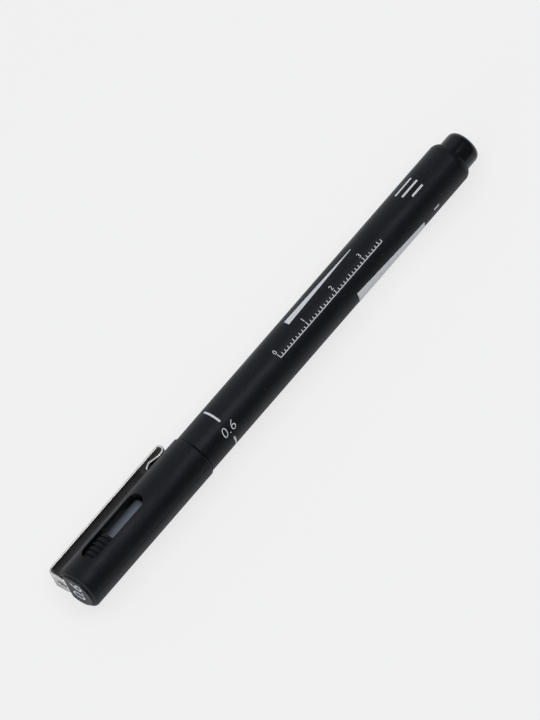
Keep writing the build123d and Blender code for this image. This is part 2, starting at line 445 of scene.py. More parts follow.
@dataclass(frozen=True)
class TwoTone:
    """Steel, ink, paper or fibre: two tones with an uneven gloss and a fine relief."""

    name: str
    colour: Colour
    second: Colour
    tone: Grain
    gloss: Grain
    roughness: Flat
    tooth: Grain
    depth: float
    metallic: float = 0.0

    def material(self) -> bpy.types.Material:
        """Build the material."""
        shader = Shader(self.name)
        shader.feed(
            Base_Color=shader.tint(shader.noise(self.tone), self.colour, self.second),
            Metallic=self.metallic,
            Roughness=shader.noise(self.gloss, self.roughness),
            Normal=shader.relief(shader.noise(self.tooth), self.depth),
        )
        return shader.material


def lines(pitch: float, span: Flat = UNIT) -> Grain:
    """Give the noise of fine lines along a rolled strip."""
    return Grain(pitch, 2.0, 60.0, span)


Finish = MouldedPlastic | TwoTone

BLACK = (0.0024, 0.0026, 0.0034)
DUST = (0.05, 0.053, 0.058)
# Painted light: the cap's bore is a grey far lighter than its black plastic, so that the shaded cavity
# behind the windows looks lit.
BORE_PAINTED_GREY, BORE_PAINTED_GREY_DUST = (0.16, 0.167, 0.183), (0.18, 0.183, 0.192)
GREY, GREY_DUST = (0.125, 0.138, 0.158), (0.17, 0.185, 0.205)
DARK, DARK_DUST = (0.010, 0.0105, 0.013), (0.03, 0.03, 0.034)
NOSE = (0.008, 0.008, 0.009)
NIB, NIB_DUST = (0.02, 0.02, 0.022), (0.05, 0.05, 0.05)
FILM, FILM_DUST = (0.6, 0.62, 0.62), (0.7, 0.7, 0.7)
BARREL_BLACK = MouldedPlastic("barrel_black", BLACK, DUST, (0.40, 0.52), 0.25, 0.14, 0.016)
# Painted shade: the tail's rim is the barrel's plastic made to reflect less, so that it looks darker.
RIM_PAINTED_SHADE = MouldedPlastic("rim_painted_shade", BLACK, DUST, (0.42, 0.54), 0.14, 0.14, 0.016)
CAP_BLACK = MouldedPlastic("cap_black", BLACK, DUST, (0.40, 0.52), 0.25, 0.14, 0.016)
PLUG_BLACK = MouldedPlastic("plug_black", BLACK, DUST, (0.15, 0.24), 0.28, 0.2, 0.003)
PAD_BLACK = MouldedPlastic("pad_black", BLACK, DUST, (0.45, 0.55), 0.22, 0.14, 0.008)
BORE_PAINTED_LIGHT = MouldedPlastic("bore_painted_light", BORE_PAINTED_GREY, BORE_PAINTED_GREY_DUST, (0.2, 0.3), 0.5, 0.3, 0.003)
INNER_GREY = MouldedPlastic("inner_grey", GREY, GREY_DUST, (0.22, 0.3), 0.5, 0.25, 0.003)
DISC_GREY = MouldedPlastic("disc_grey", DARK, DARK_DUST, (0.3, 0.42), 0.35, 0.2, 0.006)
NOSE_BLACK = MouldedPlastic("nose_black", NOSE, DUST, (0.25, 0.36), 0.35, 0.2, 0.005)
NIB_DARK = MouldedPlastic("nib_dark", NIB, NIB_DUST, (0.5, 0.6), 0.4, 0.06, 0.006)
FILM_CLEAR = MouldedPlastic("film_clear", FILM, FILM_DUST, (0.1, 0.2), 0.5, 0.8, 0.004)
BRUSHED, DULL_PATCH = (0.25, 0.75), Grain(1.6, 3.0, 4.0, (0.35, 0.7))
CLIP_STEEL = TwoTone(
    "clip_steel", (0.75, 0.742, 0.715), (0.63, 0.622, 0.6), DULL_PATCH,
    lines(0.05, BRUSHED), (0.26, 0.36), lines(0.05), 0.0006, 1.0,
)
# Painted shade: a much darker copy of the steel that stands in for the shade in the tab's oval
# pressing.
PRESSING_PAINTED_SHADE = TwoTone(
    "pressing_painted_shade", (0.26, 0.26, 0.27), (0.19, 0.19, 0.2), DULL_PATCH,
    lines(0.09, BRUSHED), (0.3, 0.45), lines(0.09), 0.004, 1.0,
)
SLEEVE_STEEL = TwoTone(
    "sleeve_steel", (0.66, 0.66, 0.67), (0.54, 0.54, 0.55), DULL_PATCH,
    lines(0.04, BRUSHED), (0.14, 0.28), lines(0.04), 0.001, 1.0,
)
PINHOLE, BLOTCH = Grain(0.18, span=(0.58, 0.78)), Grain(0.6, span=MIDDLE)
WHITE_INK = TwoTone(
    "white_ink", (0.78, 0.80, 0.82), (0.42, 0.44, 0.46),
    PINHOLE, BLOTCH, (0.5, 0.7), Grain(0.12), 0.004,
)
PULP = Grain(0.3, 4.0, 3.0, (0.35, 0.75))
PAPER = TwoTone(
    "label_paper", (0.93, 0.93, 0.94), (0.86, 0.86, 0.87), PULP, PULP, (0.45, 0.6), PULP, 0.006
)
STRAND, STRAND_GLOSS = Grain(0.12, 3.0, 30.0), Grain(0.12, 3.0, 30.0, (0.2, 0.8))
FIBRE = TwoTone(
    "drawn_fibre", (0.05, 0.05, 0.055), (0.12, 0.12, 0.13),
    STRAND, STRAND_GLOSS, (0.7, 0.95), STRAND, 0.05,
)


def dress(piece: Piece, finish: Finish) -> None:
    """Give a piece its finish.

    Args:
        piece: The piece, one of the frame's nodes or a new one.
        finish: The finish that covers it.
    """
    piece.data.materials.clear()
    piece.data.materials.append(finish.material())


def repaint(piece: Piece, finish: Finish, chosen: Callable[[Vector], bool]) -> None:
    """Give some faces of a piece a second finish.

    Args:
        piece: The piece.
        finish: The second finish.
        chosen: Tells from a face's middle, in millimetres, whether it gets the finish.
    """
    piece.data.materials.append(finish.material())
    for face in piece.data.polygons:
        if chosen(face.center / MM):
            face.material_index = 1


def fit(
    draft: MeshDraft,
    name: str,
    finish: Finish,
    body: Body,
    slot: Slot | None = None,
    *nodes: str,
    crease: float = CREASE,
) -> Piece:
    """Make a draft into a dressed piece that rides on a body.

    Args:
        draft: The piece's points and faces.
        name: Its name.
        finish: Its finish.
        body: The body that it rides on.
        slot: The record's slot of its finish. Not used.
        nodes: The CAD nodes that it replaces.
        crease: Edges that turn by more degrees than this stay sharp.

    Returns:
        The piece.
    """
    piece = draft.piece(name, crease)
    dress(piece, finish)
    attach(piece, body.value)
    if nodes:
        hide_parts(*nodes)
    return piece


@dataclass
class Barrel:
    """The barrel's wall and neck, with the plug in its tail."""

    radius: float = 5.3
    neck: Outline = ((-57.0, 3.51, 0.0), (-57.0, 4.51, 0.3))
    bead: Outline = (
        (-50.2, 4.51, 0.2), (-49.9, 4.59, 0.2), (-49.3, 4.59, 0.2), (-49.0, 4.51, 0.2),
    )
    shoulder: Outline = ((-46.0, 4.51, 0.1), (-46.0, 5.3, 0.2))
    tail_x: float = 46.35
    tail_round_length: float = 1.9
    tail_lip: float = 4.25
    tail_steps: int = 12
    rim_shade_share: float = 0.5
    bore: Outline = ((46.35, 4.22, 0.0), (-45.0, 4.22, 0.0), (-45.0, 3.51, 0.0))
    plug_side: Outline = ((38.0, 3.28, 0.0), (38.0, 4.18, 0.2), (51.0, 4.18, 1.7))
    plug_dish: Outline = ((51.0, 1.5, 0.1), (50.86, 1.2, 0.15), (50.86, 0.0, 0.0))
    plug_floor: Outline = ((49.2, 0.0, 0.0), (49.2, 3.28, 0.3))

    def tail_arc(self) -> list[Corner]:
        """Give the tail's long rounding, which starts level with the wall."""
        drop = self.radius - self.tail_lip
        bend = (self.tail_round_length**2 + drop**2) / (2 * drop)
        sweep = math.asin(self.tail_round_length / bend)
        first = self.tail_x - self.tail_round_length
        return [
            (first + bend * math.sin(turn), self.radius - bend * (1 - math.cos(turn)), 0.0)
            for turn in spread(0.0, sweep, self.tail_steps)
        ]

    def wall(self) -> Piece:
        """Build the barrel's wall and its stepped neck, with painted shade on the rim at the tail."""
        draft = turned([*self.neck, *self.bead, *self.shoulder, *self.tail_arc(), *self.bore])
        piece = fit(draft, "barrel_wall", BARREL_BLACK, Body.BARREL, Slot.BARREL, "barrel")
        # The outer part of the tail's rounding gets the less reflective plastic of painted shade.
        rim_x = self.tail_x - self.rim_shade_share * self.tail_round_length
        repaint(piece, RIM_PAINTED_SHADE, lambda at: at.x > rim_x and at.yz.length > self.tail_lip)
        return piece

    def plug(self) -> Piece:
        """Build the glossy plug, with a shallow dish in its end."""
        draft = turned([*self.plug_side, *self.plug_dish, *self.plug_floor])
        return fit(draft, "tail_plug_cap", PLUG_BLACK, Body.BARREL, Slot.PLUG, "tail_plug")

    def build(self) -> list[Piece]:
        """Build the sub-assembly's pieces."""
        return [self.wall(), self.plug()]


@dataclass
class WritingEnd:
    """The writing end: nose, steel sleeve and nib, with the ink parts behind them."""

    nose_lip: Corner = (-72.0, 0.765, 0.0)
    cone_x: Flat = (-72.0, -66.5)
    cone_radii: Flat = (1.15, 2.6)
    cone_swell: float = 0.22
    cone_steps: int = 12
    flange: Outline = ((-57.8, 2.6, 0.15), (-57.8, 3.9, 0.22), (-57.0, 3.9, 0.08))
    spigot: Outline = ((-57.0, 3.49, 0.0), (-49.0, 3.49, 0.2), (-49.0, 0.93, 0.0))
    nose_bore: Outline = ((-67.5, 0.93, 0.0), (-67.5, 0.765, 0.0))
    sleeve_tip: Outline = ((-75.4, 0.315, 0.0), (-75.4, 0.5, 0.08))
    sleeve_side: Outline = ((-74.5, 0.75, 0.5), (-67.5, 0.75, 0.05))
    sleeve_bore: Outline = ((-67.5, 0.465, 0.0), (-74.5, 0.465, 0.0), (-74.5, 0.315, 0.0))
    sleeve_columns: int = 64
    nib_tip: Outline = ((-76.7, 0.0, 0.0), (-76.7, 0.3, 0.2), (-74.5, 0.3, 0.0))
    nib_shank: Outline = ((-74.5, 0.45, 0.0), (-67.5, 0.45, 0.0), (-67.5, 0.0, 0.0))
    nib_columns: int = 48

    def nose(self) -> Piece:
        """Build the nose, whose cone swells a little."""
        cone: list[Corner] = []
        for share in spread(0.0, 1.0, self.cone_steps):
            swell = self.cone_swell * 4 * share * (1 - share)
            radius = between(*self.cone_radii, share) + swell
            cone.append((between(*self.cone_x, share), radius, 0.0))
        draft = turned([self.nose_lip, *cone, *self.flange, *self.spigot, *self.nose_bore])
        return fit(draft, "nose_cone", NOSE_BLACK, Body.BARREL, Slot.NOSE, "nib_holder")

    def sleeve(self) -> Piece:
        """Build the steel sleeve, drawn in at its tip."""
        outline = [*self.sleeve_tip, *self.sleeve_side, *self.sleeve_bore]
        draft = turned(outline, self.sleeve_columns)
        return fit(draft, "point_sleeve", SLEEVE_STEEL, Body.BARREL, Slot.SLEEVE, "nib_sleeve")

    def nib(self) -> Piece:
        """Build the round-ended nib."""
        draft = turned([*self.nib_tip, *self.nib_shank], self.nib_columns)
        return fit(draft, "writing_nib", NIB_DARK, Body.BARREL, Slot.NIB, "nib")

    def build(self) -> list[Piece]:
        """Build the sub-assembly's pieces and dress the ink parts."""
        inside = (("ink_reservoir", FIBRE), ("relay_wick", FIBRE), ("reservoir_film", FILM_CLEAR))
        for name, finish in inside:
            dress(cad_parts[name], finish)
        return [self.nose(), self.sleeve(), self.nib()]


@dataclass
class Cap:
    """The cap's shell with its two windows, the inner cap and the disc on its end."""

    radius: float = 5.65
    bore: float = 4.65
    end_x: float = -87.25
    mouth_x: float = -46.1
    bore_end_x: float = -86.05
    bore_slack: float = 0.01
    end_round: float = 0.85
    mouth_round: float = 0.42
    mouth_lead: float = 0.2
    lead_round: float = 0.05
    clip_angle: float = 115.13385
    window_x: float = -81.75
    window_length: float = 19.35
    window_width: float = 4.3
    window_edge: float = 0.13
    skin_shares: tuple[float, ...] = (0.0, 0.3, 0.55, 0.75, 0.9, 1.0)
    side_shares: Flat = (0.4, 0.8)
    margin: float = 2.0
    sector: float = 50.0
    column: float = 2.5
    rows: int = 36
    disc_radius: float = 4.55
    disc_back_x: float = -87.23
    disc_face_x: float = -87.7
    disc_flat: float = 2.7
    disc_edge: float = 0.16
    disc_insets: Triple = (1.0, 2.2, 3.4)
    disc_steps: tuple[int, int] = (110, 16)
    tube_collar: Outline = (
        (-86.05, 2.75, 0.0), (-86.05, 4.62, 0.1), (-84.85, 4.62, 0.1), (-84.85, 3.5, 0.2),
    )
    tube_mouth: Outline = ((-62.6, 3.5, 0.73), (-62.6, 2.75, 0.0))
    tube_floor: Outline = (
        (-79.0, 2.75, 0.3), (-79.0, 0.0, 0.0), (-80.0, 0.0, 0.0), (-80.0, 2.75, 0.3),
    )
    tube_columns: int = 96
    pad_gap: float = 0.06
    pad_length: float = 7.55
    pad_radius: float = 5.03
    pad_foot: float = 3.3
    pad_rim: float = 0.08
    pad_least: float = 0.2
    pad_columns: int = 16
    pad_crease: float = 25.0
    tooth_height: float = 0.3
    tooth_pitch: float = 1.36
    tooth_count: int = 6
    tooth_shares: tuple[float, ...] = (0.03, 0.08, 0.2, 0.35, 0.5, 0.65, 0.8, 0.92, 0.99)
    seam_angle: float = -62.0
    seam_width: float = 0.24
    seam_height: float = 0.045
    seam_depth: float = 0.1
    seam_rows: int = 40

    def place(self, x: float, across: float, height: float, angle: float) -> Point:
        """Place a point by its height in the plane through the axis at an angle, and across it."""
        way = outward(angle) * height + outward(angle + 90.0) * across
        return (x, way.y, way.z)

    def patch(self) -> tuple[float, float, list[float]]:
        """Give where the wall with the windows starts and ends, and its rows between."""
        low = self.window_x - self.margin
        high = self.window_x + self.window_length + self.margin
        return low, high, spread(low, high, self.rows)

    def border(self) -> list[Flat]:
        """Give the border of a window's patch as places on the axis and angles, once round."""
        low, high, xs = self.patch()
        angles = spread(-self.sector, self.sector, round(2 * self.sector / self.column))
        loop = [(x, -self.sector) for x in xs[:-1]]
        loop += [(high, angle) for angle in angles[:-1]]
        loop += [(x, self.sector) for x in reversed(xs[1:])]
        loop += [(low, angle) for angle in reversed(angles[1:])]
        return loop

    def window(self, draft: MeshDraft, angle: float) -> None:
        """Skin the wall round one window, with its rounded edge and its sides.

        Args:
            draft: The shell's draft.
            angle: Where the window faces.
        """
        half = self.window_width / 2
        first = self.window_x + half
        last = self.window_x + self.window_length - half
        edge = self.window_edge
        loop = self.border()
        aims: list[tuple[float, Vector]] = []
        for x, turn in loop:
            middle = min(max(x, first), last)
            aim = Vector((x - middle, self.radius * math.radians(turn))).normalized()
            aims.append((middle, aim))

        def skin(radius: float, offset: float) -> list[list[Point]]:
            """Give rows on one face of the wall, from the border to the window's edge."""
            rows: list[list[Point]] = []
            for share in self.skin_shares:
                row: list[Point] = []
                for (x, turn), (middle, aim) in zip(loop, aims):
                    edge_x = middle + (half + offset) * aim.x
                    edge_turn = math.degrees(math.asin((half + offset) * aim.y / radius))
                    here = angle + turn + (edge_turn - turn) * share
                    row.append(around(between(x, edge_x, share), radius, here))
                rows.append(row)
            return rows

        def ledge(offset: float, height: Callable[[float], float]) -> list[Point]:
            """Give a row along the window's side."""
            row: list[Point] = []
            for middle, aim in aims:
                across = (half + offset) * aim.y
                here = middle + (half + offset) * aim.x
                row.append(self.place(here, across, height(across), angle))
            return row

        rows = skin(self.radius, edge)
        for sink, offset in quarter(edge)[1:]:
            rows.append(ledge(offset, lambda across: rise(self.radius, across) - sink))
        for share in self.side_shares:
            rows.append(ledge(0.0, lambda across: between(
                rise(self.radius, across) - edge, rise(self.bore, across), share
            )))
        rows += list(reversed(skin(self.bore, 0.0)))
        draft.loft(rows)

    def shell(self) -> Piece:
        """Build the cap's shell, with painted light on its bore."""
        low, high, xs = self.patch()
        outer = rounded([
            (self.end_x, 0.0, 0.0),
            (self.end_x, self.radius, self.end_round),
            (low, self.radius, 0.0),
        ], False)
        mouth = rounded([
            (high, self.radius, 0.0),
            (self.mouth_x, self.radius, self.mouth_round),
            (self.mouth_x, self.bore + self.mouth_lead, self.lead_round),
            (self.mouth_x - self.mouth_lead, self.bore, self.lead_round),
            (high, self.bore, 0.0),
        ], False)
        inner = [(low, self.bore), (self.bore_end_x, self.bore), (self.bore_end_x, 0.0)]
        base = self.clip_angle - 90.0
        angles = [base + self.column * step for step in range(round(360.0 / self.column))]
        gap = 180.0 - 2 * self.sector
        plain = spread(self.sector, 180.0 - self.sector, round(gap / self.column))
        draft = MeshDraft()
        for stretch in (outer, mouth, inner):
            draft.loft([around(x, radius, angle) for angle in angles] for x, radius in stretch)
        for side in (base, base + 180.0):
            for radius in (self.radius, self.bore):
                draft.loft(([around(x, radius, side + turn) for turn in plain] for x in xs), False)
            self.window(draft, side)
        piece = fit(draft, "cap_shell", CAP_BLACK, Body.CAP, Slot.CAP, "outer_cap")
        # The bore's faces get the lighter grey of painted light.
        reach, back = self.bore + self.bore_slack, self.bore_end_x - self.bore_slack
        repaint(piece, BORE_PAINTED_LIGHT, lambda at: at.yz.length < reach and at.x > back)
        return piece

    def disc(self) -> Piece:
        """Build the disc on the closed end, with a flat beside the clip's tab."""
        open_angle = math.degrees(math.acos(self.disc_flat / self.disc_radius))
        outline: list[Flat] = []
        for turn in spread(open_angle, 360.0 - open_angle, self.disc_steps[0]):
            way = outward(turn) * self.disc_radius
            outline.append((way.z, way.y))
        top = outline[0][1]
        outline += [(self.disc_flat, side) for side in spread(-top, top, self.disc_steps[1])[1:-1]]

        def row(x: float, inset: float) -> list[Point]:
            """Give the outline drawn in by an inset, at a place on the axis."""
            share = 1.0 - inset / self.disc_radius
            return [self.place(x, side * share, out * share, self.clip_angle) for out, side in outline]

        rows = [row(self.disc_back_x, 0.0)]
        rows += [row(self.disc_face_x + fall, inset) for inset, fall in quarter(self.disc_edge)]
        rows += [row(self.disc_face_x, inset) for inset in self.disc_insets]
        draft = MeshDraft()
        numbers = draft.loft(rows)
        draft.faces.append(tuple(numbers[0]))
        draft.fan(numbers[-1], (self.disc_face_x, 0.0, 0.0))
        return fit(draft, "end_disc", DISC_GREY, Body.CAP, Slot.DISC, "cap_end_disc")

    def seam(self) -> Piece:
        """Build the fine line where the mould parts, along the side away from the clip."""
        half = math.degrees(self.seam_width / 2 / self.radius)
        angles = spread(self.seam_angle - half, self.seam_angle + half, 4)
        first, last = self.end_x + 2 * self.end_round, self.mouth_x - 2 * self.mouth_round
        xs = spread(first, last, self.seam_rows)
        top = self.radius + self.seam_height
        radii = (self.radius, top, top, top, self.radius)
        foot = self.radius - self.seam_depth
        draft = MeshDraft()
        draft.slab(
            [[around(x, radius, angle) for angle, radius in zip(angles, radii)] for x in xs],
            [[around(x, foot, angle) for angle in angles] for x in xs],
        )
        return fit(draft, "cap_seam", CAP_BLACK, Body.CAP, Slot.CAP)

    def tube(self) -> Piece:
        """Build the inner cap's sealing tube on its collar."""
        outline = [*self.tube_collar, *self.tube_mouth, *self.tube_floor]
        draft = turned(outline, self.tube_columns)
        return fit(draft, "inner_tube", INNER_GREY, Body.CAP, Slot.INNER, "inner_cap")

    def pad(self, name: str, angle: float) -> Piece:
        """Build one saw-tooth pad that shows in a window.

        Args:
            name: The piece's name.
            angle: Where the window faces.

        Returns:
            The pad.
        """
        half = self.window_width / 2 - self.pad_gap
        start = self.window_x + self.pad_gap
        steps = [self.tooth_pitch * tooth for tooth in range(self.tooth_count)] + [self.pad_length]
        top: list[list[Point]] = []
        bottom: list[list[Point]] = []
        for here, there in zip(steps, steps[1:]):
            height = self.tooth_height * min((there - here) / self.tooth_pitch, 1.0)
            for share in self.tooth_shares:
                x = self.window_x + between(here, there, share)
                radius = self.pad_radius - height * share
                before = max(start + half - x, 0.0)
                width = max(rise(half, min(before, half)), self.pad_least)
                sides = spread(-width, width, self.pad_columns)
                tops = [rise(radius, side) for side in sides]
                tops[0] -= self.pad_rim
                tops[-1] -= self.pad_rim
                feet = [rise(self.pad_foot, side) for side in sides]
                for grid, heights in ((top, tops), (bottom, feet)):
                    grid.append([self.place(x, *spot, angle) for spot in zip(sides, heights)])
        draft = MeshDraft()
        draft.slab(top, bottom)
        return fit(draft, name, PAD_BLACK, Body.CAP, Slot.INNER, crease=self.pad_crease)

    def build(self) -> list[Piece]:
        """Build the sub-assembly's pieces."""
        upper = self.pad("upper_pad", self.clip_angle - 90.0)
        lower = self.pad("lower_pad", self.clip_angle + 90.0)
        return [self.shell(), self.seam(), self.disc(), self.tube(), upper, lower]


@dataclass
class Clip:
    """The folded spring clip: one strip from the prong in the end wall to the tongue."""

    prong: Corner = (-86.17, 3.025, 0.0)
    tab_foot: Corner = (-87.525, 3.025, 0.4)
    fold: Corner = (-87.525, 8.125, 1.5)
    hairpin: Corner = (-48.67, 8.125, 0.75)
    heel: Corner = (-48.67, 6.025, 1.2)
    belly: Corner = (-51.0, 5.965, 2.0)
    kink: Corner = (-53.5, 6.72, 0.4)
    tongue: Corner = (-55.07, 6.1, 0.0)
    bend_steps: int = 14
    angle: float = 115.13385
    width: float = 4.6
    thickness: float = 0.55
    edge: float = 0.22
    edge_steps: int = 3
    end_corner: float = 0.6
    arm_least: float = 20.0
    arm_pitch: float = 0.6
    tab_least: float = 1.5
    tab_pitch: float = 0.05
    bend_pitch: float = 0.11
    fine_span: Flat = (0.33, 0.67)
    fine_columns: int = 32
    side_columns: int = 5
    pressing_middle: float = 4.3
    pressing_length: float = 2.9
    pressing_width: float = 1.6
    pressing_depth: float = 0.2
    pressing_slope: float = 0.3
    pressing_shade_share: float = 0.3
    blend_half: float = 0.35
    crease: float = 40.0

    def path(self) -> list[Flat]:
        """Give the strip's middle line, finely divided, as places on the axis and radii."""
        line = rounded([
            self.prong, self.tab_foot, self.fold, self.hairpin,
            self.heel, self.belly, self.kink, self.tongue,
        ], False, self.bend_steps)
        fine: list[Flat] = [line[0]]
        for (x0, r0), (x1, r1) in zip(line, line[1:]):
            pitch = self.tab_pitch if abs(r1 - r0) > self.tab_least else self.bend_pitch
            if abs(x1 - x0) > self.arm_least:
                pitch = self.arm_pitch
            count = max(1, math.ceil(math.hypot(x1 - x0, r1 - r0) / pitch))
            fine += list(zip(spread(x0, x1, count), spread(r0, r1, count)))[1:]
        return fine

    def pressed(self, radius: float, across: float) -> float:
        """Give how deep the oval pressing is at a place on the tab."""
        half = self.pressing_width / 2
        reach = self.pressing_length / 2 - half
        along = max(0.0, abs(radius - self.pressing_middle) - reach)
        inside = 1.0 - math.hypot(along, across) / half
        share = min(max(inside / self.pressing_slope, 0.0), 1.0)
        return self.pressing_depth * share * share * (3 - 2 * share)

    def section(self, half: float) -> list[Flat]:
        """Give the strip's cross-section at half a width, finely divided in its middle."""
        low, high = -self.thickness / 2, self.thickness / 2
        corners = ((-half, low), (half, low), (half, high), (-half, high))
        ring = rounded([(*corner, self.edge) for corner in corners], True, self.edge_steps)
        first, last = self.fine_span
        columns = spread(0.0, first, self.side_columns)[:-1]
        columns += spread(first, last, self.fine_columns)
        columns += spread(last, 1.0, self.side_columns)[1:-1]
        outline: list[Flat] = []
        for (a0, b0), (a1, b1) in zip(ring, [*ring[1:], ring[0]]):
            shares = columns if abs(a1 - a0) > half / 2 else [0.0]
            outline += [(between(a0, a1, share), between(b0, b1, share)) for share in shares]
        return outline

    def strip(self) -> Piece:
        """Build the whole strip as one piece, shaped round the fold."""
        path = self.path()
        lengths = [0.0]
        for (x0, r0), (x1, r1) in zip(path, path[1:]):
            lengths.append(lengths[-1] + math.hypot(x1 - x0, r1 - r0))
        side, out = outward(self.angle - 90.0), outward(self.angle)
        tab_x, arm_radius, _ = self.fold
        rows: list[list[Point]] = []
        for number, (x, radius) in enumerate(path):
            before, after = path[max(number - 1, 0)], path[min(number + 1, len(path) - 1)]
            along = (Vector(after) - Vector(before)).normalized()
            near = min(lengths[number], lengths[-1] - lengths[number])
            corner = max(self.end_corner - near, 0.0)
            loss = self.end_corner - rise(self.end_corner, corner)
            on_tab = abs(x - tab_x) < MERGE
            row: list[Point] = []
            for across, lift in self.section(self.width / 2 - loss):
                is_face = on_tab and lift < -self.thickness / 4
                sunk = self.pressed(radius, across) if is_face else 0.0
                spot = out * (radius - along.x * lift) + side * across
                row.append((x + along.y * lift + sunk, spot.y, spot.z))
            rows.append(row)
        draft = MeshDraft()
        numbers = draft.loft(rows)
        draft.faces += [tuple(numbers[0]), tuple(numbers[-1])]
        piece = draft.piece("clip_strip", self.crease)
        dress(piece, CLIP_STEEL)
        # Faces deep enough in the pressing get the darker steel of painted shade.
        least = self.pressing_shade_share * self.pressing_depth
        repaint(piece, PRESSING_PAINTED_SHADE, lambda at: (
            at.x < tab_x and self.pressed(at.dot(out), at.dot(side)) > least
        ))
        corner = Vector((tab_x, 0.0, 0.0)) + out * arm_radius
        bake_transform(piece)
        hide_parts("clip_root", "clip_arm")
        return piece

    def build(self) -> list[Piece]:
        """Build the sub-assembly's piece."""
        return [self.strip()]


@dataclass(frozen=True)
class Figures:
    """Plain figures, by their height, slant, added weight of stroke and pitch."""

    height: float
    lean: float = 0.0
    weight: float = 0.0
    spacing: float = 1.08
    smoothness: int = 8
    extrude: float = 0.05
    bands: int = 14
    merge: float = 1e-5

    def drawn(self, words: str, thickness: float) -> bpy.types.Mesh:
        """Draw figures lying flat, with their middle at the origin.

        Args:
            words: The figures.
            thickness: How thick the layer of ink is, in millimetres.

        Returns:
            A closed mesh in millimetres, cut into narrow bands so that it can bend.
        """
        curve = bpy.data.curves.new("figures", "FONT")
        curve.body = words
        curve.shear = self.lean
        curve.offset = self.weight
        curve.space_character = self.spacing
        curve.resolution_u = self.smoothness
        curve.extrude = self.extrude
        holder = bpy.data.objects.new("figures", curve)
        bpy.context.scene.collection.objects.link(holder)
        bpy.context.view_layer.update()
        shown = holder.evaluated_get(bpy.context.evaluated_depsgraph_get())
        mesh = bpy.data.meshes.new_from_object(shown)
        bpy.data.objects.remove(holder)
        bpy.data.curves.remove(curve)
        low = [min(point.co[axis] for point in mesh.vertices) for axis in range(3)]
        high = [max(point.co[axis] for point in mesh.vertices) for axis in range(3)]
        scale = self.height / (high[1] - low[1])
        for point in mesh.vertices:
            point.co.x = (point.co.x - (low[0] + high[0]) / 2) * scale
            point.co.y = (point.co.y - (low[1] + high[1]) / 2) * scale
            point.co.z = thickness * (point.co.z - low[2]) / (high[2] - low[2])
        sculpt = bmesh.new()
        sculpt.from_mesh(mesh)
        bmesh.ops.remove_doubles(sculpt, verts=sculpt.verts, dist=self.merge)
        for y in spread(-self.height / 2, self.height / 2, self.bands)[1:-1]:
            bmesh.ops.bisect_plane(
                sculpt,
                geom=[*sculpt.verts, *sculpt.edges, *sculpt.faces],
                dist=self.merge,
                plane_co=(0.0, y, 0.0),
                plane_no=(0.0, 1.0, 0.0),
            )
        sculpt.to_mesh(mesh)
        sculpt.free()
        return mesh


